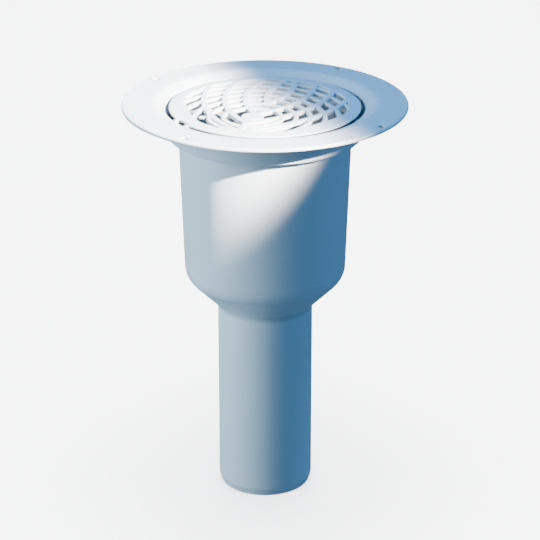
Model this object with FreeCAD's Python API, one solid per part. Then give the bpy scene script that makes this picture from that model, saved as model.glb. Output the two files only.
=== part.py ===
"""Floor drain with a loose flat grille and a lift-out bell trap.

Millimetres. Z points up along the axis of the drain, and the outlet end stands on Z = 0.
"""
import FreeCAD
import Part
import math
import os

# Outlet pipe
OUTLET_DIAMETER = 75.0
OUTLET_LENGTH = 156.0
OUTLET_WALL = 3.2
OUTLET_END_TAPER_LENGTH = 6.0
OUTLET_END_TAPER = 2.2

# Cup between the outlet and the collar
WALL = 3.0
CUP_BOTTOM_DIAMETER = 126.2
CUP_HEIGHT = 115.0
CUP_DRAFT = 1.9
SHOULDER_ANGLE = 45.0
SHOULDER_ROUNDING = 17.0
NECK_ROUNDING = 5.0

# Collar with the ledge that carries what is put in from above
LEDGE_WIDTH = 8.1
COLLAR_HEIGHT = 25.3
COLLAR_FLARE = 5.0
COLLAR_ROUNDING = 1.0

# Flange
FLANGE_DIAMETER = 220.0
FLANGE_THICKNESS = 3.0
FLANGE_EDGE_ROUNDING = 1.2
DIP_WIDTH = 9.0
DIP_DEPTH = 3.8
DIP_ROUNDING = 14.0
MOUTH_ROUNDING = 1.0
FIXING_HOLE_INSET = 6.0
FIXING_HOLE_DIAMETER = 5.5
FIXING_HOLE_COUNT = 4
FIXING_HOLE_ANGLE = 55.6

# Trap cup, hung on the ledge over its seal
SEAL_THICKNESS = 2.0
SEAL_INSET = 1.6
LIFT_OUT_GAP = 1.6
TRAP_FLANGE_THICKNESS = 2.5
TRAP_WALL = 2.2
TRAP_GAP = 3.4
TRAP_FLOOR_THICKNESS = 2.5
TRAP_FLOOR_ROUNDING = 8.0
TRAP_FLOOR_HEIGHT = 30.0
STANDPIPE_DIAMETER = 48.0

# Bell over the standpipe
BELL_PASSAGE = 10.0
BELL_WALL = 2.2
BELL_HEADROOM = 10.0
BELL_FLOOR_GAP = 10.0
BELL_ROOF_FALL = 4.0
BELL_ROUNDING = 9.0
KNOB_SINK = 8.4
KNOB_HEIGHT = 7.0
KNOB_DIAMETER = 14.0
KNOB_NECK_DIAMETER = 9.0
FIN_COUNT = 4
FIN_THICKNESS = 2.4
FIN_REACH = 30.0
FIN_PLAY = 0.4

# Grille, standing on the collar of the trap cup
GRILLE_GAP = 3.2
RIM_SINK = 2.2
RIM_WIDTH = 9.8
RIM_FALL = 0.8
RIM_THICKNESS = 4.0
RIM_ROUNDING = 1.2
SKIRT_THICKNESS = 2.5
SKIRT_INSET = 1.5
GRATING_THICKNESS = 3.0
HUB_DIAMETER = 17.0
HUB_OFFSET = 30.0
HUB_ANGLE = 251.5
RING_PITCH = 11.0
RING_WIDTH = 3.4
RING_COUNT = 7
BAR_PITCH = 16.1
BAR_WIDTH = 4.4
BAR_PAIRS = 5
BAR_CENTRE_DISTANCE = 95.0
BAR_CENTRE_ANGLE = 43.7
SMALLEST_OPENING = 13.0
LUG_WIDTH = 3.0
LUG_PLAY = 0.4
LUG_ANGLE = 206.0
LUG_SPACING = 12.0
NOTCH_DEPTH = 1.6

# Radii and heights that follow from the sizes above
outlet_r = OUTLET_DIAMETER / 2
outlet_bore_r = outlet_r - OUTLET_WALL
cup_bottom_r = CUP_BOTTOM_DIAMETER / 2
cup_lean = math.tan(math.radians(CUP_DRAFT))
shoulder_rise = (cup_bottom_r - outlet_r) * math.tan(math.radians(SHOULDER_ANGLE))
inner_lift = math.tan(math.radians(SHOULDER_ANGLE) / 2)

shoulder_z = OUTLET_LENGTH + shoulder_rise
lip_z = shoulder_z + CUP_HEIGHT
ledge_z = lip_z + WALL
top_z = lip_z + COLLAR_HEIGHT

cup_top_r = cup_bottom_r + CUP_HEIGHT * cup_lean
collar_r = cup_top_r + LEDGE_WIDTH
mouth_r = collar_r - WALL + COLLAR_FLARE
dip_r = mouth_r + DIP_WIDTH
flange_r = FLANGE_DIAMETER / 2
mouth_z = top_z - DIP_DEPTH
dip_slope = DIP_DEPTH / DIP_WIDTH

seal_top_z = ledge_z + SEAL_THICKNESS
trap_top_z = seal_top_z + TRAP_FLANGE_THICKNESS
trap_flange_r = collar_r - WALL - LIFT_OUT_GAP
trap_r = cup_top_r - WALL - TRAP_GAP
trap_floor_z = shoulder_z + TRAP_FLOOR_HEIGHT
trap_floor_top_z = trap_floor_z + TRAP_FLOOR_THICKNESS
trap_bottom_r = trap_r - (seal_top_z - trap_floor_z) * cup_lean
standpipe_r = STANDPIPE_DIAMETER / 2

grille_r = mouth_r - GRILLE_GAP
rim_z = top_z - RIM_SINK
grating_r = grille_r - RIM_WIDTH
skirt_r = trap_flange_r - SKIRT_INSET
knob_top_z = trap_top_z - KNOB_SINK
bell_top_z = knob_top_z - KNOB_HEIGHT
bell_inner_r = standpipe_r + BELL_PASSAGE
bell_r = bell_inner_r + BELL_WALL
bell_bottom_z = trap_floor_top_z + BELL_FLOOR_GAP
standpipe_top_z = bell_top_z - BELL_WALL - BELL_ROOF_FALL - BELL_HEADROOM

ORIGIN = FreeCAD.Vector(0, 0, 0)
AXIS = FreeCAD.Vector(0, 0, 1)


def outline(corners):
    """Closed outline in the plane of radius and height, from (radius, height, rounding) corners."""
    points = [FreeCAD.Vector(radius, 0, height) for radius, height, _ in corners]
    spans = []
    for index, (_, _, rounding) in enumerate(corners):
        here = points[index]
        back = (points[index - 1] - here).normalize()
        ahead = (points[(index + 1) % len(points)] - here).normalize()
        if rounding == 0:
            spans.append((here, None, here))
            continue
        half = back.getAngle(ahead) / 2
        bisector = (back + ahead).normalize()
        reach = rounding / math.tan(half)
        middle = here + bisector * (rounding / math.sin(half) - rounding)
        spans.append((here + back * reach, middle, here + ahead * reach))
    edges = []
    for index, (enter, middle, leave) in enumerate(spans):
        previous = spans[index - 1][2]
        if previous.distanceToPoint(enter) > 1e-6:
            edges.append(Part.LineSegment(previous, enter).toShape())
        if middle is not None:
            edges.append(Part.Arc(enter, middle, leave).toShape())
    return Part.Wire(edges)


def turned(corners):
    """Solid of revolution about the drain's axis."""
    return Part.Face(outline(corners)).revolve(ORIGIN, AXIS, 360)


def at(radius, angle, height):
    """Point given by its radius, its angle in degrees from +X and its height."""
    turn = math.radians(angle)
    return FreeCAD.Vector(radius * math.cos(turn), radius * math.sin(turn), height)


def block(inner, outer, width, low, high, angle):
    """Upright block that runs outwards along one radius."""
    corner = FreeCAD.Vector(inner, -width / 2, low)
    solid = Part.makeBox(outer - inner, width, high - low, corner)
    return solid.rotate(ORIGIN, AXIS, angle)


def make_drain_body():
    """Flange, collar, cup, shoulder and outlet pipe in one moulding."""
    inner_neck_z = OUTLET_LENGTH + OUTLET_WALL * inner_lift
    inner_shoulder_z = inner_neck_z + (cup_bottom_r - WALL - outlet_bore_r) * shoulder_rise / (
        cup_bottom_r - outlet_r)
    collar_top_r = mouth_r + WALL
    collar_top_z = top_z - FLANGE_THICKNESS - (dip_r - collar_top_r) * dip_slope
    body = turned([
        (flange_r, top_z, FLANGE_EDGE_ROUNDING),
        (flange_r, top_z - FLANGE_THICKNESS, FLANGE_EDGE_ROUNDING),
        (dip_r, top_z - FLANGE_THICKNESS, DIP_ROUNDING - FLANGE_THICKNESS),
        (collar_top_r, collar_top_z, FLANGE_THICKNESS),
        (collar_r, lip_z, COLLAR_ROUNDING),
        (cup_top_r, lip_z, WALL),
        (cup_bottom_r, shoulder_z, SHOULDER_ROUNDING),
        (outlet_r, OUTLET_LENGTH, NECK_ROUNDING),
        (outlet_r, OUTLET_END_TAPER_LENGTH, 0),
        (outlet_r - OUTLET_END_TAPER, 0, 0),
        (outlet_bore_r, 0, 0),
        (outlet_bore_r, inner_neck_z, NECK_ROUNDING + OUTLET_WALL),
        (cup_bottom_r - WALL, inner_shoulder_z, SHOULDER_ROUNDING - WALL),
        (cup_top_r - WALL + WALL * cup_lean, ledge_z, 0),
        (collar_r - WALL, ledge_z, 0),
        (mouth_r, mouth_z, MOUTH_ROUNDING),
        (dip_r, top_z, DIP_ROUNDING),
    ])
    holes = []
    for index in range(FIXING_HOLE_COUNT):
        angle = FIXING_HOLE_ANGLE + index * 360 / FIXING_HOLE_COUNT
        foot = at(flange_r - FIXING_HOLE_INSET, angle, top_z - 3 * FLANGE_THICKNESS)
        holes.append(Part.makeCylinder(FIXING_HOLE_DIAMETER / 2, 6 * FLANGE_THICKNESS, foot, AXIS))
    return body.cut(Part.makeCompound(holes))


def make_trap_seal():
    """Flat ring that lies on the ledge."""
    inner = cup_top_r - WALL + SEAL_INSET
    return turned([
        (trap_flange_r, seal_top_z, 0),
        (trap_flange_r, ledge_z, 0),
        (inner, ledge_z, 0),
        (inner, seal_top_z, 0),
    ])


def make_trap_cup():
    """Cup with a flange that lies on the seal and a standpipe that is open at both ends."""
    bore = standpipe_r - TRAP_WALL
    return turned([
        (trap_flange_r, trap_top_z, 0),
        (trap_flange_r, seal_top_z, 0),
        (trap_r, seal_top_z, 0),
        (trap_bottom_r, trap_floor_z, TRAP_FLOOR_ROUNDING),
        (bore, trap_floor_z, 0),
        (bore, standpipe_top_z, 0),
        (standpipe_r, standpipe_top_z, 0),
        (standpipe_r, trap_floor_top_z, TRAP_WALL),
        (trap_bottom_r - TRAP_WALL, trap_floor_top_z, TRAP_FLOOR_ROUNDING - TRAP_WALL),
        (trap_r - TRAP_WALL, trap_top_z, 0),
    ])


def make_trap_bell():
    """Inverted cup with a lifting knob and fins that stand on the trap floor round the standpipe."""
    knob_r = KNOB_DIAMETER / 2
    neck_r = KNOB_NECK_DIAMETER / 2
    edge_z = bell_top_z - BELL_ROOF_FALL
    bell = turned([
        (0, knob_top_z, 0),
        (knob_r, knob_top_z, KNOB_HEIGHT / 4),
        (knob_r, knob_top_z - KNOB_HEIGHT / 2, 0),
        (neck_r, knob_top_z - KNOB_HEIGHT / 2, 0),
        (neck_r, bell_top_z, 0),
        (bell_r, edge_z, BELL_ROUNDING),
        (bell_r, bell_bottom_z, 0),
        (bell_inner_r, bell_bottom_z, 0),
        (bell_inner_r, edge_z - BELL_WALL, BELL_ROUNDING - BELL_WALL),
        (0, bell_top_z - BELL_WALL, 0),
    ])
    inner = standpipe_r + FIN_PLAY + TRAP_WALL
    outer = bell_inner_r + BELL_WALL / 2
    fins = []
    for index in range(FIN_COUNT):
        angle = index * 360 / FIN_COUNT
        high = bell_bottom_z + FIN_REACH
        fins.append(block(inner, outer, FIN_THICKNESS, trap_floor_top_z, high, angle))
        guide_low = trap_floor_top_z + BELL_FLOOR_GAP / 2
        fins.append(block(standpipe_r + FIN_PLAY, inner, FIN_THICKNESS, guide_low, high, angle))
    return bell.fuse(fins).removeSplitter()


def disc(centre, radius):
    """Level round face."""
    return Part.Face(Part.Wire(Part.makeCircle(radius, centre, AXIS)))


def band(centre, radius, width):
    """Level ring-shaped face with the given middle radius."""
    return disc(centre, radius + width / 2).cut(disc(centre, radius - width / 2))


def make_openings():
    """Cutters between the rings, which run round an off-centre hub, and the bars.

    The bars are arcs in pairs that mirror each other in the line through the hub and the middle of
    the grille. Each arc stays on its own side of that line, and a straight bar runs along the line
    from the hub to the nearer part of the rim.
    """
    low = rim_z - 2 * RIM_THICKNESS
    hub = at(HUB_OFFSET, HUB_ANGLE, low)
    ahead = HUB_ANGLE + 180
    reach = BAR_CENTRE_DISTANCE + grille_r
    spine = [hub + at(BAR_WIDTH / 2, ahead + side * 90, 0) for side in (1, -1)]
    spine += [corner - at(grille_r, ahead, 0) for corner in reversed(spine)]
    web = [disc(hub, HUB_DIAMETER / 2), Part.Face(Part.makePolygon(spine + spine[:1]))]
    for index in range(RING_COUNT):
        web.append(band(hub, (index + 2) * RING_PITCH, RING_WIDTH))
    first = BAR_CENTRE_DISTANCE * math.sin(math.radians(BAR_CENTRE_ANGLE)) + BAR_PITCH / 2
    for side in (1, -1):
        centre = hub + at(BAR_CENTRE_DISTANCE, ahead + side * BAR_CENTRE_ANGLE, 0)
        corners = [hub + at(reach, ahead, 0), hub - at(reach, ahead, 0)]
        corners += [corner + at(reach, ahead - side * 90, 0) for corner in reversed(corners)]
        half = Part.Face(Part.makePolygon(corners + corners[:1]))
        for index in range(BAR_PAIRS):
            web.append(band(centre, first + index * BAR_PITCH, BAR_WIDTH).common(half))
    faces = disc(at(0, 0, low), grating_r).cut(web).Faces
    return [face.extrude(AXIS * (top_z - low)) for face in faces if face.Area > SMALLEST_OPENING]


def make_grille():
    """Rim, skirt and grating in one moulding, with two lugs beside a lifting notch."""
    grille = turned([
        (0, rim_z, 0),
        (grating_r, rim_z, 0),
        (grille_r, rim_z - RIM_FALL, RIM_ROUNDING),
        (grille_r, rim_z - RIM_THICKNESS, 0),
        (skirt_r, rim_z - RIM_THICKNESS, 0),
        (skirt_r, trap_top_z, 0),
        (skirt_r - SKIRT_THICKNESS, trap_top_z, 0),
        (skirt_r - SKIRT_THICKNESS, rim_z - GRATING_THICKNESS, 0),
        (0, rim_z - GRATING_THICKNESS, 0),
    ])
    reach = (mouth_r - grille_r) / math.cos(math.radians(LUG_SPACING))
    notch_angle = LUG_ANGLE + LUG_SPACING / 2
    notch_width = 2 * grille_r * math.sin(math.radians(LUG_SPACING / 2)) - LUG_WIDTH
    notch_low = rim_z - 2 * RIM_THICKNESS
    notch_r = grille_r - NOTCH_DEPTH
    notch = block(notch_r, grille_r + reach, notch_width, notch_low, top_z, notch_angle)
    grille = grille.cut(Part.makeCompound(make_openings() + [notch]))
    collar_lean = COLLAR_FLARE / (mouth_z - ledge_z)
    lug_low = rim_z - RIM_THICKNESS
    lug_r = mouth_r - LUG_PLAY - (mouth_z - lug_low) * collar_lean
    for angle in (LUG_ANGLE, LUG_ANGLE + LUG_SPACING):
        lug_high = rim_z - RIM_FALL - RIM_ROUNDING / 2
        grille = grille.fuse(block(notch_r, lug_r, LUG_WIDTH, lug_low, lug_high, angle))
    return grille.removeSplitter()


def main():
    os.makedirs("parts", exist_ok=True)
    make_drain_body().exportStep("parts/drain_body.step")
    make_trap_seal().exportStep("parts/trap_seal.step")
    make_trap_cup().exportStep("parts/trap_cup.step")
    make_trap_bell().exportStep("parts/trap_bell.step")
    make_grille().exportStep("parts/grille.step")


main()
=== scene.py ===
"""Looks of a moulded floor drain: its body, its flat grille, the trap inside and a plain studio."""
import math

import bmesh
import bpy
import numpy as np
from bpy.props import FloatProperty, FloatVectorProperty, IntProperty, PointerProperty
from mathutils import Euler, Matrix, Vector


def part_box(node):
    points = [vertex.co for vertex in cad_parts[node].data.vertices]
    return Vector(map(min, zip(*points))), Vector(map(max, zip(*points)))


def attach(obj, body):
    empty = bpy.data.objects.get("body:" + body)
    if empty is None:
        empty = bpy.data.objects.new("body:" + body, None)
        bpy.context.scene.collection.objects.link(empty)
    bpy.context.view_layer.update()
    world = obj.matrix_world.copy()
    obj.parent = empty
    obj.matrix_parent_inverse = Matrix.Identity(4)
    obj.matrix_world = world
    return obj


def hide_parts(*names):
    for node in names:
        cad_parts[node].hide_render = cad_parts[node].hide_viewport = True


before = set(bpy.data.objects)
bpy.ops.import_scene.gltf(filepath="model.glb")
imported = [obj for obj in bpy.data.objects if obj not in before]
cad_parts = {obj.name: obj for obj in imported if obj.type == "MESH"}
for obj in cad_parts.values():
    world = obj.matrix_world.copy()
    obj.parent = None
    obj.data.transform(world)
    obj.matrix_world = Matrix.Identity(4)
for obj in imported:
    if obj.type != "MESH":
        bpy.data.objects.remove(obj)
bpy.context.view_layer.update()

bl_info = {
    "name": "Floor Drain",
    "version": (1, 0, 0),
    "blender": (4, 5, 0),
    "location": "3D View > Sidebar > Drain",
    "description": "Builds the body, grille and trap finishes of a floor drain on its CAD frame",
    "category": "Object",
}

BODY_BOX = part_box("drain_body")
TRAP_CUP_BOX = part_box("trap_cup")

# Forms that no user would change. Lengths are in metres.
SHOULDER_ANGLE = math.radians(45.0)  # slope of the shoulder between the cup and the outlet
HOLE_BAND = 0.0043                   # half width of the band of the flange that is pierced
FIRST_RING = 2                       # radius of the inmost ring of the grille, in ring pitches
NOTCH_SIDE = 0.004                   # angle over which a side of the lifting notch falls in
NOTCH_FADE = 0.003                   # how far inside the rim's edge the notch has run out
RIM_OVERLAP = 0.001                  # how far rings and bars run into the rim
LUG_ROOT = 0.002                     # how far a lug runs into the rim
SEAM = 0.00003                       # how far a bar runs past the web's middle line

# Fineness of the surfaces, in points or steps.
ARC_STEPS = 6                        # points on the arc of a rounded corner
CORNER_POINTS = ARC_STEPS + 2        # those points and one on the run at each side of them
BAR_ARC_STEPS = 3                    # points on the arc of a bar's corner
LIP_STEPS = 4                        # points on the lip of a fixing hole
BAND_CELLS = 36                      # cells of the pierced band
CELL_ACROSS, CELL_ALONG = 8, 6       # steps of a cell round the flange and outwards
NOTCH_STEPS, RIM_STEPS = 10, 180     # points along the notch and round the rest of the rim
HUB_STEPS = 48                       # points round the hub
LEAST_ARC_STEPS = 8                  # points on the shortest arched bar
STRAIGHT_STEPS = 24                  # points along the straight bar
COVE_STEPS = 24                      # points on the rounding behind the floor

# Fineness of the surfaces, in metres.
SKIN = 0.0015                        # farthest from an arc that its shading ends
BAR_SKIN = 0.0003                    # the same on a bar
RUN_SHARE = 0.3                      # most of a run, as a share, that the shading of an arc takes
ARC_STEP = 0.0016                    # length of a step along an arched bar
HUB_EYE = 0.0005                     # where the section of the hub ends before it is closed
HAIR = 0.00001                       # radii that differ by less are one edge
WELD = 2e-6                          # points that lie closer become one
SLIVER = WELD / 4                    # shorter edges are taken out

# Finish of the plastic: shares of full strength, unless said otherwise.
GAP_SHADE_BEND = -2.0                        # bend value in the gap round the rim, where painted shade goes
GAP_SHADE_COVER, GAP_SHADE_TINT = 0.92, 0.1    # how strongly the gap is painted dark as its shade, and that painted shade's colour against the dust tone
CORNER_DARKENING, SPECK_DUST = 0.55, 0.5  # darker tone in the inward corners, and dust in specks all over
SPECK_LEVEL = 0.66                   # noise above which a speck starts
CLOUD_TINT = 0.955                   # colour of the darkest cloud
FLOW_ROUGH, GRAIN_ROUGH = 0.16, 0.1  # roughness from flow marks and from grain
EDGE_SHINE, SPECK_CORNER_ROUGH = 0.06, 0.3   # roughness lost on outer roundings, and added with the specks and the darker corners
GRAIN_RELIEF = 0.35                  # how much of the relief is grain
FLOW_RELIEF = 0.65                   # how much of it is flow marks
FLOW_STRETCH = (60.0, 60.0, 9.0)     # spots of a flow mark to the metre, on each axis
RELIEF_HEIGHT = 0.00006              # in metres

# The studio.
WHITE = (1.0, 1.0, 1.0)
SKY_TONE, SKY_STRENGTH = (0.25, 0.58, 1.0, 1.0), 0.28
DRAIN_MIDDLE = (0.0, 0.0, 0.2)       # the point that most lights face
SENSOR_WIDTH = 36.0                  # in millimetres
FAR_CLIP = 50.0


def length(label, text, default):
    """A size in metres that the user can change."""
    return FloatProperty(name=label, description=text, default=default, min=0.0,
                         unit="LENGTH", precision=4)


def degrees(label, text, default):
    """An angle, written in degrees."""
    return FloatProperty(name=label, description=text, default=math.radians(default),
                         unit="ROTATION")


def number(label, text, default):
    """How many there are of a form."""
    return IntProperty(name=label, description=text, default=default, min=1)


def colour(label, text, default):
    """A linear colour."""
    return FloatVectorProperty(name=label, description=text, default=default, size=3,
                               min=0.0, max=1.0, subtype="COLOR")


class DrainBodySizes(bpy.types.PropertyGroup):
    outlet_diameter: length("Outlet diameter", "Outside of the outlet pipe", 0.075)
    outlet_length: length("Outlet length", "From the open end to the neck", 0.156)
    outlet_wall: length("Outlet wall", "Wall of the outlet pipe", 0.0032)
    end_taper_length: length("End taper length", "Height of the taper at the open end", 0.006)
    end_taper: length("End taper", "Inward step of the taper at the open end", 0.0022)
    wall: length("Wall", "Wall of the cup and the collar", 0.003)
    cup_diameter: length("Cup diameter", "Outside of the cup at the shoulder", 0.1262)
    cup_height: length("Cup height", "From the shoulder to the collar", 0.115)
    cup_draft: degrees("Cup draft", "Lean of the cup's wall", 1.9)
    shoulder_rounding: length("Shoulder rounding", "Outer rounding of the shoulder", 0.017)
    neck_rounding: length("Neck rounding", "Rounding between the shoulder and the outlet", 0.005)
    ledge_width: length("Ledge width", "Step from the cup out to the collar", 0.0081)
    collar_flare: length("Collar flare", "How far the collar opens towards the flange", 0.005)
    flange_thickness: length("Flange thickness", "Thickness of the flange", 0.003)
    flange_edge: length("Flange edge", "Rounding of the flange's edge", 0.0012)
    dip_width: length("Dip width", "Width of the fall from the flange to the mouth", 0.009)
    dip_depth: length("Dip depth", "Depth of the fall from the flange to the mouth", 0.0038)
    dip_rounding: length("Dip rounding", "Rounding where the flange starts to fall", 0.014)
    crisp_edge: length("Crisp edge", "Rounding of the edges that look sharp", 0.0005)
    hole_diameter: length("Fixing hole", "Diameter of a fixing hole", 0.0055)
    hole_inset: length("Fixing hole inset", "From the flange's edge to the middle of a hole", 0.006)
    hole_angle: degrees("Fixing hole angle", "Direction of the first fixing hole", 55.6)
    hole_count: number("Fixing holes", "Number of fixing holes", 4)


class GrilleSizes(bpy.types.PropertyGroup):
    rim_gap: length("Rim gap", "Gap between the rim and the mouth of the body", 0.0032)
    rim_sink: length("Rim sink", "How far the rim lies below the flange", 0.0022)
    rim_width: length("Rim width", "Width of the solid rim", 0.0098)
    rim_fall: length("Rim fall", "Fall of the rim towards its edge", 0.0008)
    rim_thickness: length("Rim thickness", "Thickness of the rim", 0.004)
    rim_edge: length("Rim edge", "Thickness of the rim at its edge", 0.0011)
    rim_rounding: length("Rim rounding", "Rounding of the rim's edge", 0.0006)
    skirt_thickness: length("Skirt thickness", "Wall of the skirt under the rim", 0.0025)
    skirt_inset: length("Skirt inset", "Step from the trap's flange to the skirt", 0.0015)
    grating_thickness: length("Grating thickness", "Height of the bars and rings", 0.003)
    lip: length("Lip", "Rounding of the upper edges of the web", 0.0005)
    crossing_step: length("Crossing step", "How far a ring lies below a bar", 0.00008)
    hub_diameter: length("Hub diameter", "Diameter of the closed hub", 0.017)
    hub_offset: length("Hub offset", "From the middle of the grille to the hub", 0.030)
    hub_angle: degrees("Hub angle", "Direction of the hub from the middle", 251.5)
    ring_pitch: length("Ring pitch", "Distance between two rings", 0.011)
    ring_width: length("Ring width", "Width of a ring", 0.0034)
    ring_count: number("Rings", "Number of rings round the hub", 7)
    bar_pitch: length("Bar pitch", "Distance between two bars", 0.0161)
    bar_width: length("Bar width", "Width of a bar", 0.0044)
    bar_pairs: number("Bar pairs", "Number of bars on each side", 5)
    bar_centre_distance: length("Bar centre distance", "From the hub to the arcs' middle", 0.095)
    bar_centre_angle: degrees("Bar centre angle", "From the web's middle line to that point", 43.7)
    lug_width: length("Lug width", "Width of a lug on the rim's edge", 0.003)
    lug_play: length("Lug play", "Gap between a lug and the collar", 0.0004)
    lug_angle: degrees("Lug angle", "Direction of the first lug", 206.0)
    lug_spacing: degrees("Lug spacing", "Angle between the two lugs", 12.0)
    notch_depth: length("Notch depth", "Depth of the lifting notch between the lugs", 0.0016)


class DrainColours(bpy.types.PropertyGroup):
    body_white: colour("Body white", "Plastic of the body", (0.76, 0.78, 0.80))
    grille_white: colour("Grille white", "Plastic of the grille", (0.80, 0.815, 0.83))
    trap_grey: colour("Trap grey", "Plastic of the trap", (0.42, 0.44, 0.46))
    seal_black: colour("Seal black", "Rubber of the seal", (0.012, 0.012, 0.013))
    # Tone of the dust specks and of the darker inward corners, and, dimmed, of the painted shade in
    # the gap round the rim.
    dust_and_shade_tone: colour("Grime", "Dust in the inner corners", (0.42, 0.40, 0.37))
    floor_pale: colour("Floor", "Studio floor", (0.86, 0.87, 0.88))


class StageSizes(bpy.types.PropertyGroup):
    camera_distance: length("Camera distance", "From the middle of the flange to the camera", 1.65)
    camera_elevation: degrees("Camera elevation", "Height of the camera over the flange", 18.05)
    camera_pitch: degrees("Camera pitch", "How far the camera looks down", 22.53)
    camera_yaw: degrees("Camera yaw", "How far the camera looks to the right", 0.14)
    camera_lens: FloatProperty(name="Lens", description="Focal length in millimetres",
                               default=143.2, unit="CAMERA")
    floor_width: length("Floor width", "Width of the studio floor", 6.0)
    floor_depth: length("Floor depth", "From the object to the backdrop", 2.2)
    cove_radius: length("Cove radius", "Rounding between the floor and the backdrop", 1.0)
    wall_height: length("Wall height", "Height of the backdrop over the cove", 3.0)


def unit(vectors):
    """Each row vector divided by its length."""
    return vectors / np.linalg.norm(vectors, axis=-1, keepdims=True)


def heading(angle):
    """Level unit vector at an angle from the X axis: (cos a, sin a)."""
    return np.array([math.cos(angle), math.sin(angle)])


def points_at(x, y, z):
    """Points from their coordinates, each of which is spread over the grid that all three make."""
    return np.stack(np.broadcast_arrays(x, y, z), -1)


def rounded_outline(corners, steps=ARC_STEPS, skin=SKIN):
    """Closed outline in radius and height.

    Each corner (radius, height, rounding) becomes the arc of that rounding that touches the two
    straight runs which meet there. One more point on each run, at most skin away from the arc,
    ends the arc's shading. Returns the points and how they bend: 1 on an outward arc, -1 on an
    inward one and 0 on a run, for corners that are listed clockwise.
    """
    corners = np.asarray(corners, float)
    point, rounding = corners[:, :2], corners[:, 2:]
    back = unit(np.roll(point, 1, 0) - point)
    ahead = unit(np.roll(point, -1, 0) - point)
    half = np.arccos(np.clip((back * ahead).sum(1, keepdims=True), -1.0, 1.0)) / 2
    centre = point + unit(back + ahead) * rounding / np.sin(half)
    reach = rounding / np.tan(half)
    start = point + back * reach - centre
    end = point + ahead * reach - centre
    turn = np.sign(start[:, :1] * end[:, 1:] - start[:, 1:] * end[:, :1])
    angle = turn * (math.pi - 2 * half) * np.linspace(0.0, 1.0, steps)
    spoke = np.stack([start[:, :1] * np.cos(angle) - start[:, 1:] * np.sin(angle),
                      start[:, :1] * np.sin(angle) + start[:, 1:] * np.cos(angle)], -1)
    arc = spoke + centre[:, None]
    run = np.linalg.norm(np.roll(arc[:, 0], -1, 0) - arc[:, -1], axis=1, keepdims=True)
    after = arc[:, -1] + ahead * np.minimum(skin, RUN_SHARE * run)
    before = arc[:, 0] + back * np.minimum(skin, RUN_SHARE * np.roll(run, 1, 0))
    points = np.concatenate([before[:, None], arc, after[:, None]], 1)
    bend = np.repeat(-turn, steps + 2, 1)
    bend[:, [0, -1]] = 0.0
    return points.reshape(-1, 2), bend.ravel()


def capped(first, outline, last, bend):
    """An outline with one more point before it and one after it, both with no bend."""
    points = np.concatenate([[first], outline, [last]])
    return points, np.concatenate([[0.0], bend, [0.0]])[:, None]


def lathe(outline, angles):
    """Grid of an outline turned about the Z axis: (r cos a, r sin a, z) at each point and angle."""
    radius, height = outline[:, :1], outline[:, 1:]
    return points_at(radius * np.cos(angles), radius * np.sin(angles), height)


def grid_faces(rows, columns, close_rows=False, close_columns=False):
    """Quads between neighbouring points of a grid that is numbered row by row."""
    index = np.arange(rows * columns).reshape(rows, columns)
    if close_rows:
        index = np.concatenate([index, index[:1]])
    if close_columns:
        index = np.concatenate([index, index[:, :1]], 1)
    quads = np.stack([index[:-1, :-1], index[:-1, 1:], index[1:, 1:], index[1:, :-1]], -1)
    return quads.reshape(-1, 4)


class Moulding:
    """Surface patches that are gathered, welded and made into one object."""

    def __init__(self):
        self.points = []
        self.faces = []
        self.bends = []
        self.count = 0

    def add(self, grid, bend=0.0, close_rows=False, close_columns=False):
        """Adds a grid of points, or a stack of like grids, with the bend value of each point.

        The last two axes before the coordinates are the rows and columns of a grid.
        """
        rows, columns = grid.shape[-3:-1]
        points = grid.reshape(-1, 3)
        starts = np.arange(self.count, self.count + len(points), rows * columns)
        quads = grid_faces(rows, columns, close_rows, close_columns)
        self.points.append(points)
        self.faces.append((quads + starts[:, None, None]).reshape(-1, 4))
        self.bends.append(np.broadcast_to(bend, grid.shape[:-1]).ravel())
        self.count += len(points)

    def make(self, name):
        """Welds the patches, turns the faces outwards and returns the new object."""
        mesh = bpy.data.meshes.new(name)
        mesh.from_pydata(np.concatenate(self.points), [], np.concatenate(self.faces).tolist())
        attribute = mesh.attributes.new("bend", "FLOAT", "POINT")
        attribute.data.foreach_set("value", np.concatenate(self.bends).astype(np.float32))
        work = bmesh.new()
        work.from_mesh(mesh)
        bmesh.ops.remove_doubles(work, verts=work.verts, dist=WELD)
        bmesh.ops.dissolve_degenerate(work, edges=work.edges, dist=SLIVER)
        bmesh.ops.recalc_face_normals(work, faces=work.faces)
        open_edges = sum(not edge.is_manifold for edge in work.edges)
        work.to_mesh(mesh)
        work.free()
        if open_edges:
            raise RuntimeError(f"{name} has {open_edges} open edges")
        mesh.polygons.foreach_set("use_smooth", np.ones(len(mesh.polygons), bool))
        mesh.update()
        piece = bpy.data.objects.new(name, mesh)
        bpy.context.scene.collection.objects.link(piece)
        return piece


def cell_rim(across, along):
    """Points round a unit square: across steps on its level sides, along steps on the others."""
    u = np.arange(across) / across
    v = np.arange(along) / along
    one_u, one_v = np.ones(across), np.ones(along)
    return (np.concatenate([u, one_v, 1 - u, 0 * v]),
            np.concatenate([0 * u, v, one_u, 1 - v]))


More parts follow.
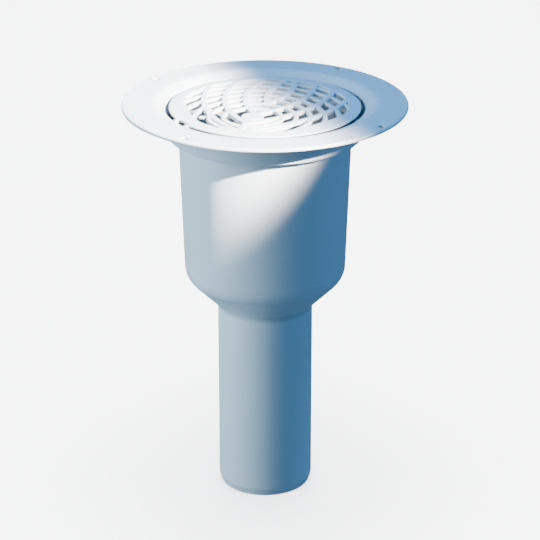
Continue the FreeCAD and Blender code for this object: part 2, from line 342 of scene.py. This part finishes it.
def pierced(outer_top, edge_top, outer_low, edge_low, lip):
    """Grids of a plate round an opening, as one profile carried round the opening's edge.

    The profile runs level from the outer edge to the lip, turns down a quarter circle of radius
    lip, goes down the wall and comes back below in the same way. Returns the grids and the bend
    values of their rows: the two lips bend outwards.
    """
    inward = edge_top - outer_top
    inward[..., 2] = 0.0
    out = -unit(inward)[..., None, :, :]
    down = np.array([0.0, 0.0, -1.0])
    alpha = np.linspace(0.0, math.pi / 2, LIP_STEPS)[:, None, None]
    top, low = edge_top[..., None, :, :], edge_low[..., None, :, :]
    upper = top + out * lip * (1 - np.sin(alpha)) + down * lip * (1 - np.cos(alpha))
    lower = low + out * lip * (1 - np.cos(alpha)) - down * lip * (1 - np.sin(alpha))
    plate = [outer_top[..., None, :, :], upper, lower, outer_low[..., None, :, :]]
    bend = np.concatenate([[0.0], np.ones(2 * LIP_STEPS), [0.0]])[:, None]
    return np.concatenate(plate, -3), bend


class Wire:
    """An output socket. Arithmetic on it adds Math nodes."""

    def __init__(self, finish, socket):
        self.finish = finish
        self.socket = socket

    def worked(self, operation, first, second, clamp=False):
        settings = {"operation": operation, "use_clamp": clamp}
        return self.finish.node("ShaderNodeMath", settings, {0: first, 1: second})

    def __add__(self, other):
        return self.worked("ADD", self, other)

    def __radd__(self, other):
        return self.worked("ADD", other, self)

    def __sub__(self, other):
        return self.worked("SUBTRACT", self, other)

    def __rsub__(self, other):
        return self.worked("SUBTRACT", other, self)

    def __mul__(self, other):
        return self.worked("MULTIPLY", self, other)

    def __rmul__(self, other):
        return self.worked("MULTIPLY", other, self)

    def clamped(self):
        """The value, kept between 0 and 1."""
        return self.worked("ADD", self, 0.0, clamp=True)


class Finish:
    """One material and the nodes that make it."""

    def __init__(self, name):
        self.material = bpy.data.materials.new(name)
        self.material.use_nodes = True
        self.tree = self.material.node_tree
        self.tree.nodes.clear()

    def node(self, kind, settings=None, sockets=None, output=0):
        """Adds a node: its settings are set first, then its sockets get values or links."""
        made = self.tree.nodes.new(kind)
        for key, value in (settings or {}).items():
            setattr(made, key, value)
        for key, value in (sockets or {}).items():
            if isinstance(value, Wire):
                self.tree.links.new(value.socket, made.inputs[key])
            else:
                made.inputs[key].default_value = value
        return Wire(self, made.outputs[output]) if made.outputs else None

    def place(self):
        """Object coordinates, in metres."""
        return self.node("ShaderNodeTexCoord", output="Object")

    def stretched(self, place, scale):
        """Coordinates scaled along each axis."""
        return self.node("ShaderNodeMapping", None, {"Vector": place, "Scale": scale})

    def noise(self, place, scale, detail=2.0, roughness=0.5):
        """Noise from 0 to 1 with that many spots to the metre."""
        sockets = {"Vector": place, "Scale": scale, "Detail": detail, "Roughness": roughness}
        return self.node("ShaderNodeTexNoise", {"normalize": True}, sockets)

    def bend(self):
        """How the surface bends: 1 on an outward rounding, -1 on an inward one, and a lower value
        in the gap round the rim, which gets painted shade.
        """
        return self.node("ShaderNodeAttribute", {"attribute_name": "bend"}, output="Fac")

    def blend(self, factor, first, second):
        """Colour between two colours: inputs 6 and 7 and output 2 are the Mix node's colours."""
        settings = {"data_type": "RGBA", "blend_type": "MIX"}
        return self.node("ShaderNodeMix", settings, {0: factor, 6: first, 7: second}, output=2)

    def bump(self, height, distance, strength):
        """Normal of a surface that height raises by up to distance metres."""
        sockets = {"Height": height, "Distance": distance, "Strength": strength}
        return self.node("ShaderNodeBump", None, sockets)

    def finish(self, **sockets):
        """Ends the material with a Principled shader."""
        named = {key.replace("_", " "): value for key, value in sockets.items()}
        shader = self.node("ShaderNodeBsdfPrincipled", None, named)
        self.node("ShaderNodeOutputMaterial", None, {"Surface": shader})
        return self.material


def rgba(tone, share=1.0):
    """A colour property times share, as a socket value."""
    return (tone[0] * share, tone[1] * share, tone[2] * share, 1.0)


def moulded_plastic(name, tone, dust_and_shade_tone, roughness=0.34):
    """Satin moulded plastic.

    It has a cloudy tint, fine grain, flow marks and specks all over, a darker tone in the inward
    corners, painted shade where the bend value marks the gap round the rim, and a little more shine
    on the outer roundings.
    """
    finish = Finish(name)
    place = finish.place()
    cloud = finish.noise(place, scale=22.0, detail=3.0, roughness=0.55)
    speck = finish.noise(place, scale=900.0, detail=1.0)
    grain = finish.noise(place, scale=2400.0, roughness=0.6)
    streak = finish.stretched(place, FLOW_STRETCH)
    flow = finish.noise(streak, scale=1.0, detail=3.0, roughness=0.6)
    bend = finish.bend()
    inner = (0.0 - bend).clamped()
    outer = bend.clamped()
    specks = SPECK_DUST * (speck - SPECK_LEVEL).clamped()
    # A darker tone and more roughness in the inward corners, and dust in specks all over.
    specks_and_corners = (inner * CORNER_DARKENING * cloud + specks).clamped()
    # Painted shade: in the gap round the rim the colour goes nearly black, where that deep gap is
    # shaded.
    gap_shade = GAP_SHADE_COVER * (-1.0 - bend).clamped()
    tint = finish.blend(cloud, rgba(tone, CLOUD_TINT), rgba(tone))
    darkened_tint = finish.blend(specks_and_corners, tint, rgba(dust_and_shade_tone))
    base = finish.blend(gap_shade, darkened_tint, rgba(dust_and_shade_tone, GAP_SHADE_TINT))
    rough = (roughness + (flow - 0.5) * FLOW_ROUGH + (grain - 0.5) * GRAIN_ROUGH
             - outer * EDGE_SHINE + specks_and_corners * SPECK_CORNER_ROUGH)
    relief = grain * GRAIN_RELIEF + flow * FLOW_RELIEF
    normal = finish.bump(relief, distance=RELIEF_HEIGHT, strength=0.55)
    return finish.finish(Base_Color=base, Roughness=rough, Normal=normal, IOR=1.49,
                         Subsurface_Weight=0.06, Subsurface_Radius=(0.004, 0.004, 0.004))


def seal_rubber(name, tone, bloom_tint=2.6, roughness=0.62, bloom_rough=0.2):
    """Matt rubber with a fine bloom, which is paler and rougher."""
    finish = Finish(name)
    place = finish.place()
    bloom = finish.noise(place, scale=160.0, detail=4.0, roughness=0.6)
    grain = finish.noise(place, scale=3000.0)
    base = finish.blend(bloom, rgba(tone), rgba(tone, bloom_tint))
    normal = finish.bump(grain, distance=0.00005, strength=0.6)
    return finish.finish(Base_Color=base, Roughness=roughness + bloom * bloom_rough, Normal=normal)


def studio_floor(name, tone, mottle_tint=0.985, roughness=0.85, mottle_rough=0.05):
    """Pale painted floor with a faint mottle and a faint glow, as a light table has."""
    finish = Finish(name)
    mottle = finish.noise(finish.place(), scale=3.0, detail=3.0)
    base = finish.blend(mottle, rgba(tone, mottle_tint), rgba(tone))
    return finish.finish(Base_Color=base, Roughness=roughness + mottle * mottle_rough,
                         Emission_Color=rgba(tone), Emission_Strength=0.7)


def mouth_radius(s):
    """Radius of the body's mouth, where the collar meets the dip of the flange."""
    cup_top = s.cup_diameter / 2 + s.cup_height * math.tan(s.cup_draft)
    return cup_top + s.ledge_width - s.wall + s.collar_flare


def wear(piece, material):
    """Gives a new piece its material and its body."""
    piece.data.materials.append(material)
    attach(piece, "root")


class DRAIN_OT_body(bpy.types.Operator):
    """Builds the flange, collar, cup and outlet as one turned moulding with fixing holes"""

    bl_idname = "drain.body"
    bl_label = "Drain Body"

    def execute(self, context):
        tones = context.scene.drain_colours
        piece = self.build(context.scene.drain_body)
        plastic = moulded_plastic("body_white", tones.body_white, tones.dust_and_shade_tone)
        wear(piece, plastic)
        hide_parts("drain_body")
        return {"FINISHED"}

    def corners(self, s):
        """Corners of the section (radius, height, rounding), clockwise from the flange's edge.

        The first two are the edge of the flange. The shoulder rises as far as it widens, and the
        neck lies higher inside than outside by the wall times the tangent of half the slope.
        """
        top = BODY_BOX[1].z
        flange = BODY_BOX[1].x
        outlet = s.outlet_diameter / 2
        bore = outlet - s.outlet_wall
        cup = s.cup_diameter / 2
        lean = math.tan(s.cup_draft)
        shoulder = s.outlet_length + cup - outlet
        lip = shoulder + s.cup_height
        cup_top = cup + s.cup_height * lean
        collar = cup_top + s.ledge_width
        mouth = mouth_radius(s)
        dip = mouth + s.dip_width
        collar_top = mouth + s.wall
        collar_top_z = top - s.flange_thickness - (dip - collar_top) * s.dip_depth / s.dip_width
        inner_neck = s.outlet_length + s.outlet_wall * math.tan(SHOULDER_ANGLE / 2)
        crisp = s.crisp_edge
        return [
            (flange, top, s.flange_edge),
            (flange, top - s.flange_thickness, s.flange_edge),
            (dip, top - s.flange_thickness, s.dip_rounding - s.flange_thickness),
            (collar_top, collar_top_z, s.wall),
            (collar, lip, 2 * crisp),
            (cup_top, lip, s.wall),
            (cup, shoulder, s.shoulder_rounding),
            (outlet, s.outlet_length, s.neck_rounding),
            (outlet, s.end_taper_length, 4 * crisp),
            (outlet - s.end_taper, 0.0, crisp / 2),
            (bore, 0.0, crisp / 2),
            (bore, inner_neck, s.neck_rounding + s.outlet_wall),
            (cup - s.wall, inner_neck + cup - s.wall - bore, s.shoulder_rounding - s.wall),
            (cup_top - s.wall + s.wall * lean, lip + s.wall, crisp),
            (collar - s.wall, lip + s.wall, crisp),
            (mouth, top - s.dip_depth, 2 * crisp),
            (dip, top, s.dip_rounding),
        ]

    def build(self, s):
        """The section turned about the Z axis, but for a band of the flange made of equal cells.

        A cell at a fixing hole is a plate round an opening. The others are plain: their points
        are (r cos a, r sin a) on the upper and the lower side of the flange.
        """
        top = BODY_BOX[1].z
        low = top - s.flange_thickness
        centre = BODY_BOX[1].x - s.hole_inset
        band_in, band_out = centre - HOLE_BAND, centre + HOLE_BAND
        cell_angle = math.tau / BAND_CELLS
        first = s.hole_angle - cell_angle / 2
        angles = first + np.arange(BAND_CELLS * CELL_ACROSS) * cell_angle / CELL_ACROSS
        mould = Moulding()

        outline, bend = rounded_outline(self.corners(s))
        edge, edge_bend = outline[:2 * CORNER_POINTS], bend[:2 * CORNER_POINTS]
        rest, rest_bend = outline[2 * CORNER_POINTS:], bend[2 * CORNER_POINTS:]
        section, rows = capped((band_in, low), rest, (band_in, top), rest_bend)
        mould.add(lathe(section, angles), rows, close_columns=True)
        beyond = edge[:, 0] > band_out + HAIR
        section, rows = capped((band_out, top), edge[beyond], (band_out, low), edge_bend[beyond])
        mould.add(lathe(section, angles), rows, close_columns=True)

        u, v = cell_rim(CELL_ACROSS, CELL_ALONG)
        rim_radius = band_in + (band_out - band_in) * v
        step = BAND_CELLS // s.hole_count
        pierced_angle = first + np.arange(s.hole_count)[:, None] * step * cell_angle
        rim_angle = pierced_angle + u * cell_angle
        middle = pierced_angle + cell_angle / 2
        outer = points_at(rim_radius * np.cos(rim_angle), rim_radius * np.sin(rim_angle), 0.0)
        heart = points_at(centre * np.cos(middle), centre * np.sin(middle), 0.0)
        ring = heart + unit(outer - heart) * s.hole_diameter / 2
        up, down = np.array([0.0, 0.0, top]), np.array([0.0, 0.0, low])
        holes, rows = pierced(outer + up, ring + up, outer + down, ring + down, s.crisp_edge)
        mould.add(holes, rows, close_columns=True)

        plain = np.setdiff1d(np.arange(BAND_CELLS), np.arange(s.hole_count) * step)
        across = np.arange(CELL_ACROSS + 1) / CELL_ACROSS
        plain_angle = (first + (plain[:, None] + across) * cell_angle)[:, None]
        band = (band_in + (band_out - band_in) * np.arange(CELL_ALONG + 1) / CELL_ALONG)[:, None]
        for height in (top, low):
            mould.add(points_at(band * np.cos(plain_angle), band * np.sin(plain_angle), height))
        return mould.make("body_moulding")


class DRAIN_OT_grille(bpy.types.Operator):
    """Builds the grille: a rim with a skirt and two lugs, and a web of rings and arched bars"""

    bl_idname = "drain.grille"
    bl_label = "Grille"

    def execute(self, context):
        tones = context.scene.drain_colours
        piece = self.build(context.scene.drain_grille, context.scene.drain_body)
        plastic = moulded_plastic("grille_white", tones.grille_white, tones.dust_and_shade_tone)
        wear(piece, plastic)
        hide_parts("grille")
        return {"FINISHED"}

    def build(self, s, body):
        """Rim, web and lugs in one object.

        The collar leans outwards by its flare over its height, so the lugs end at the mouth's
        radius less that lean times their depth below the mouth, and less their play.
        """
        mouth = mouth_radius(body)
        self.mould = Moulding()
        self.top = BODY_BOX[1].z - s.rim_sink
        self.low = self.top - s.grating_thickness
        self.under = self.top - s.rim_thickness
        self.edge = mouth - s.rim_gap
        self.grating = self.edge - s.rim_width
        self.inside = self.grating + RIM_OVERLAP
        self.rim(s)
        self.web(s)
        shoulder = body.outlet_length + (body.cup_diameter - body.outlet_diameter) / 2
        ledge = shoulder + body.cup_height + body.wall
        mouth_height = BODY_BOX[1].z - body.dip_depth
        lean = body.collar_flare / (mouth_height - ledge)
        self.lugs(s, mouth - s.lug_play - (mouth_height - self.under) * lean)
        return self.mould.make("grille_moulding")

    def rim(self, s):
        """The section of the rim and its skirt turned about the Z axis, with the lifting notch.

        Along the notch a point's radius is less by the notch's depth times a share, which is 1 at
        the rim's edge and falls evenly to 0 further in.
        """
        skirt = TRAP_CUP_BOX[1].x - s.skirt_inset
        seat = TRAP_CUP_BOX[1].z
        outline, bend = rounded_outline([
            (self.grating, self.top, s.lip),
            (self.edge, self.top - s.rim_fall, s.rim_rounding),
            (self.edge, self.top - s.rim_fall - s.rim_edge, s.lip / 4),
            (skirt, self.under, s.lip),
            (skirt, seat, s.lip),
            (skirt - s.skirt_thickness, seat, s.lip),
            (skirt - s.skirt_thickness, self.low, s.lip),
            (self.grating, self.low, s.lip / 2),
        ])
        # Painted shade: from the corner under the rim down the outside of the skirt, the gap is
        # coloured nearly black, as its shade falls there.
        bend[3 * CORNER_POINTS:4 * CORNER_POINTS + 2] = GAP_SHADE_BEND
        middle = s.lug_angle + s.lug_spacing / 2
        half = s.lug_spacing / 2 - s.lug_width / 2 / self.edge
        sides = np.array([-half - NOTCH_SIDE, -half, half, half + NOTCH_SIDE])
        notch = np.linspace(-half, half, NOTCH_STEPS)[1:-1]
        around = np.linspace(half + NOTCH_SIDE, math.tau - half - NOTCH_SIDE, RIM_STEPS)[1:-1]
        angles = np.concatenate([sides[:2], notch, sides[2:], around])
        bite = s.notch_depth * (np.abs(angles) <= half + NOTCH_SIDE / 2)
        share = np.clip((outline[:, :1] - self.edge) / NOTCH_FADE + 1.0, 0.0, 1.0)
        ring = lathe(outline, middle + angles)
        ring[..., :2] *= (1.0 - bite * share / outline[:, :1])[..., None]
        self.mould.add(ring, bend[:, None], close_rows=True, close_columns=True)

    def section(self, width, top, low, top_lip, low_lip):
        """Rounded rectangle across a bar: offset from the middle line, height, and bend."""
        half = width / 2
        outline, bend = rounded_outline([(-half, top, top_lip), (half, top, top_lip),
                                         (half, low, low_lip), (-half, low, low_lip)],
                                        BAR_ARC_STEPS, BAR_SKIN)
        return outline[:, :1], outline[:, 1:], bend[:, None]

    def web_section(self, s, width, drop):
        """Section of a bar or ring of the web, drop lower on top and higher underneath."""
        return self.section(width, self.top - drop, self.low + drop, s.lip, s.lip / 2)

    def tube(self, grid, bend, closed=False):
        """Adds a section's grid, and strips from its upper to its lower half at open ends."""
        self.mould.add(grid, bend, close_rows=True, close_columns=closed)
        if not closed:
            half = len(grid) // 2
            for end in (grid[:, 0], grid[:, -1]):
                self.mould.add(np.stack([end[:half], end[:half - 1:-1]]))

    def arc(self, section, centre, radius, limits=None):
        """A bar's section carried along a circle.

        Each point of the section keeps its own radius r about the centre. It runs over the angles
        at which that circle lies inside the rim, which are those within
        arccos((d^2 + r^2 - g^2) / 2dr) of the direction to the middle of the grille, for a centre
        d away and a rim of radius g. Limits, where given, cut the run off at their own angles for
        each r. A circle that lies outside the rim gives nothing.
        """
        offset, height, bend = section
        reach = radius + offset
        distance = np.hypot(*centre)
        turn = (distance ** 2 + reach ** 2 - self.inside ** 2) / (2 * distance * reach)
        if turn.max() > 1.0:
            return
        closed = turn.max() < -1.0 and limits is None
        half = np.arccos(np.clip(turn, -1.0, 1.0))
        home = math.atan2(-centre[1], -centre[0])
        start, end = home - half, home + half
        if limits:
            first, last = limits(reach)
            whole_turns = math.tau * np.round((home - (first + last) / 2) / math.tau)
            start = np.maximum(start, first + whole_turns)
            end = np.minimum(end, last + whole_turns)
        if (end - start).min() <= 0.0:
            return
        count = LEAST_ARC_STEPS + int(radius * (end - start).max() / ARC_STEP)
        angle = start + (end - start) * np.linspace(0.0, 1.0, count, endpoint=not closed)
        self.tube(points_at(centre[0] + reach * np.cos(angle),
                            centre[1] + reach * np.sin(angle), height), bend, closed)

    def straight(self, section, start, along, run):
        """A bar's section carried along a line: start + along times run + sideways times offset."""
        offset, height, bend = section
        side = np.array([-along[1], along[0]])
        self.tube(points_at(start[0] + along[0] * run + side[0] * offset,
                            start[1] + along[1] * run + side[1] * offset, height), bend)

    def hub(self, s, place):
        """Closed disc: the outer corners of a rounded rectangle, turned about the hub's middle."""
        radius = s.hub_diameter / 2
        outline, bend = rounded_outline([
            (HUB_EYE, self.top, s.lip / 8), (radius, self.top, s.lip),
            (radius, self.low, s.lip), (HUB_EYE, self.low, s.lip / 8)])
        outer = slice(CORNER_POINTS, 3 * CORNER_POINTS)
        disc, rows = capped((0.0, self.top), outline[outer], (0.0, self.low), bend[outer])
        knob = lathe(disc, np.linspace(0.0, math.tau, HUB_STEPS, endpoint=False))
        self.mould.add(knob + [*place, 0.0], rows, close_columns=True)

    def web(self, s):
        """The hub, rings about it, mirrored pairs of arcs beside the middle line, a straight bar.

        The middle line runs from the hub through the middle of the grille. The arcs of one side
        share a centre, which lies base away from that line, on its other side. Rings lie two
        crossing steps down, arcs one and the straight bar one and a half, so no two tops meet.
        """
        ahead = s.hub_angle - math.pi
        hub = -s.hub_offset * heading(ahead)
        self.hub(s, hub)
        ring_section = self.web_section(s, s.ring_width, 2 * s.crossing_step)
        for index in range(s.ring_count):
            self.arc(ring_section, hub, (index + FIRST_RING) * s.ring_pitch)
        base = s.bar_centre_distance * math.sin(s.bar_centre_angle)
        bar_section = self.web_section(s, s.bar_width, s.crossing_step)
        for side in (1, -1):
            centre = hub + s.bar_centre_distance * heading(ahead + side * s.bar_centre_angle)
            across = ahead - side * math.pi / 2

            def own_side(reach):
                """The middle line is base away, so the arc is past it within arccos(base / r)."""
                half = np.arccos(np.minimum((base - SEAM) / reach, 1.0))
                return across - half, across + half

            for index in range(s.bar_pairs):
                self.arc(bar_section, centre, base + (index + 0.5) * s.bar_pitch, own_side)
        section = self.web_section(s, s.bar_width, s.crossing_step * 1.5)
        reach = np.sqrt(self.inside ** 2 - section[0] ** 2) - s.hub_offset
        self.straight(section, hub, unit(hub), reach * np.linspace(0.0, 1.0, STRAIGHT_STEPS))

    def lugs(self, s, far):
        """Two short bars that stand out of the rim's edge, lower than its top."""
        near = self.edge - s.notch_depth - LUG_ROOT
        top = self.top - s.rim_fall - s.rim_rounding / 2
        section = self.section(s.lug_width, top, self.under + s.crossing_step, s.lip, s.lip)
        run = np.array([near, far - s.lip, far])
        for angle in (s.lug_angle, s.lug_angle + s.lug_spacing):
            self.straight(section, (0.0, 0.0), heading(angle), run)


class DRAIN_OT_trap(bpy.types.Operator):
    """Finishes the trap cup, its bell and its seal"""

    bl_idname = "drain.trap"
    bl_label = "Trap"

    def execute(self, context):
        tones = context.scene.drain_colours
        grey = moulded_plastic("trap_grey", tones.trap_grey, tones.dust_and_shade_tone, roughness=0.42)
        rubber = seal_rubber("seal_black", tones.seal_black)
        for node, material in (("trap_cup", grey), ("trap_bell", grey), ("trap_seal", rubber)):
            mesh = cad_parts[node].data
            mesh.materials.clear()
            mesh.materials.append(material)
        return {"FINISHED"}


class DRAIN_OT_stage(bpy.types.Operator):
    """Makes the pale floor, the soft lights and the camera"""

    bl_idname = "drain.stage"
    bl_label = "Stage"

    def execute(self, context):
        size = context.scene.drain_stage
        self.lights(self.floor(size, context.scene.drain_colours))
        self.camera(context, size)
        return {"FINISHED"}

    def floor(self, s, tones):
        """A level floor that turns up into a wall behind the object through a quarter circle.

        It throws no light back on the drain, so the drain keeps its shading over a white floor.
        """
        half = s.floor_width / 2
        turn = np.linspace(0.0, math.pi / 2, COVE_STEPS)
        depth = np.concatenate([[-half], s.floor_depth + s.cove_radius * np.sin(turn),
                                [s.floor_depth + s.cove_radius]])
        rise = np.concatenate([[0.0], s.cove_radius * (1 - np.cos(turn)),
                               [s.cove_radius + s.wall_height]])
        grid = points_at(np.array([-half, half]), depth[:, None], rise[:, None])
        mesh = bpy.data.meshes.new("studio_floor")
        mesh.from_pydata(grid.reshape(-1, 3), [], grid_faces(*grid.shape[:2]).tolist())
        mesh.polygons.foreach_set("use_smooth", np.ones(len(mesh.polygons), bool))
        mesh.materials.append(studio_floor("studio_floor", tones.floor_pale))
        floor = bpy.data.objects.new("studio_floor", mesh)
        floor.visible_diffuse = False
        floor.visible_glossy = False
        bpy.context.scene.collection.objects.link(floor)
        return floor

    def reach(self, name, floor, state):
        """What a light falls on: the floor alone (INCLUDE) or all but the floor (EXCLUDE)."""
        group = bpy.data.collections.new(name)
        group.objects.link(floor)
        group.collection_objects[0].light_linking.link_state = state
        return group

    def lamp(self, name, group, place, aim, width, power, tone=WHITE, spread=180.0, height=None):
        """A round or oval soft light that faces a point, its beam narrowed to spread by a grid."""
        light = bpy.data.lights.new(name, "AREA")
        light.shape = "ELLIPSE"
        light.size = width
        light.size_y = height or width
        light.energy = power
        light.color = tone
        light.spread = math.radians(spread)
        lamp = bpy.data.objects.new(name, light)
        lamp.location = place
        lamp.rotation_euler = (Vector(aim) - Vector(place)).to_track_quat("-Z", "Y").to_euler()
        lamp.light_linking.receiver_collection = group
        bpy.context.scene.collection.objects.link(lamp)

    def lights(self, floor):
        """A white beam on the drain's upper left, cool fills round it, white light on the floor."""
        drain = self.reach("drain_lights", floor, "EXCLUDE")
        ground = self.reach("floor_lights", floor, "INCLUDE")
        self.lamp("key", drain, place=(1.012, -1.335, 1.49), aim=(-0.307, -0.171, 0.539),
                  width=0.844, power=31.0, tone=(1.0, 0.97, 0.92), spread=1.8)
        self.lamp("left_fill", drain, place=(-1.4, -0.3, 0.45), aim=DRAIN_MIDDLE,
                  width=1.3, power=7.8, tone=(0.6, 0.83, 1.0), spread=60.0)
        self.lamp("cool_fill", drain, place=(1.3, -0.3, 0.7), aim=DRAIN_MIDDLE,
                  width=0.6, power=0.3, tone=(0.02, 0.35, 1.0), spread=40.0)
        self.lamp("cool_top", drain, place=(0.4, 0.15, 1.5), aim=(0.07, 0.0, 0.3),
                  width=0.4, power=0.65, tone=(0.06, 0.4, 1.0), spread=30.0)
        self.lamp("back_fill", drain, place=(-0.6, 1.55, 0.16), aim=DRAIN_MIDDLE,
                  width=1.8, power=9.0, tone=(0.88, 0.94, 1.0), spread=90.0, height=0.26)
        self.lamp("overhead", ground, place=(0.0, 0.0, 3.0), aim=(0.0, 0.0, 0.0),
                  width=3.0, power=700.0)
        self.lamp("background", ground, place=(0.0, 2.4, 2.6), aim=(0.0, 2.4, 0.0),
                  width=2.0, power=200.0)
        self.lamp("foreground", ground, place=(0.0, -2.6, 2.6), aim=(0.0, -2.6, 0.0),
                  width=2.0, power=200.0)
        world = bpy.data.worlds.new("studio_sky")
        world.use_nodes = True
        sky = world.node_tree.nodes["Background"].inputs
        sky["Color"].default_value = SKY_TONE
        sky["Strength"].default_value = SKY_STRENGTH
        bpy.context.scene.world = world

    def camera(self, context, s):
        """The photograph's viewpoint: a level camera that looks down at the drain."""
        lens = bpy.data.cameras.new("camera")
        lens.lens = s.camera_lens
        lens.sensor_width = SENSOR_WIDTH
        lens.clip_end = FAR_CLIP
        camera = bpy.data.objects.new("camera", lens)
        reach = s.camera_distance
        rise = BODY_BOX[1].z + reach * math.sin(s.camera_elevation)
        camera.location = (0.0, -reach * math.cos(s.camera_elevation), rise)
        camera.rotation_euler = Euler((math.pi / 2 - s.camera_pitch, 0.0, -s.camera_yaw))
        context.scene.collection.objects.link(camera)
        context.scene.camera = camera


class DRAIN_PT_sidebar(bpy.types.Panel):
    """Lists the operators, each over the sizes or colours that go with it"""

    bl_idname = "DRAIN_PT_sidebar"
    bl_label = "Floor Drain"
    bl_space_type = "VIEW_3D"
    bl_region_type = "UI"
    bl_category = "Drain"

    def draw(self, context):
        for operator, group in PIECES:
            column = self.layout.column(align=True)
            column.operator(operator.bl_idname)
            values = getattr(context.scene, group)
            for name in values.bl_rna.properties.keys():
                if name not in {"rna_type", "name"}:
                    column.prop(values, name)


PIECES = (
    (DRAIN_OT_body, "drain_body"),
    (DRAIN_OT_grille, "drain_grille"),
    (DRAIN_OT_trap, "drain_colours"),
    (DRAIN_OT_stage, "drain_stage"),
)
GROUPS = {
    "drain_body": DrainBodySizes,
    "drain_grille": GrilleSizes,
    "drain_colours": DrainColours,
    "drain_stage": StageSizes,
}
CLASSES = (*GROUPS.values(), *(operator for operator, _ in PIECES), DRAIN_PT_sidebar)


def register():
    for cls in CLASSES:
        bpy.utils.register_class(cls)
    for name, group in GROUPS.items():
        setattr(bpy.types.Scene, name, PointerProperty(type=group))


def unregister():
    for name in GROUPS:
        delattr(bpy.types.Scene, name)
    for cls in reversed(CLASSES):
        bpy.utils.unregister_class(cls)


def main():
    register()
    bpy.ops.drain.body()
    bpy.ops.drain.grille()
    bpy.ops.drain.trap()
    bpy.ops.drain.stage()


if __name__ == "__main__":
    main()
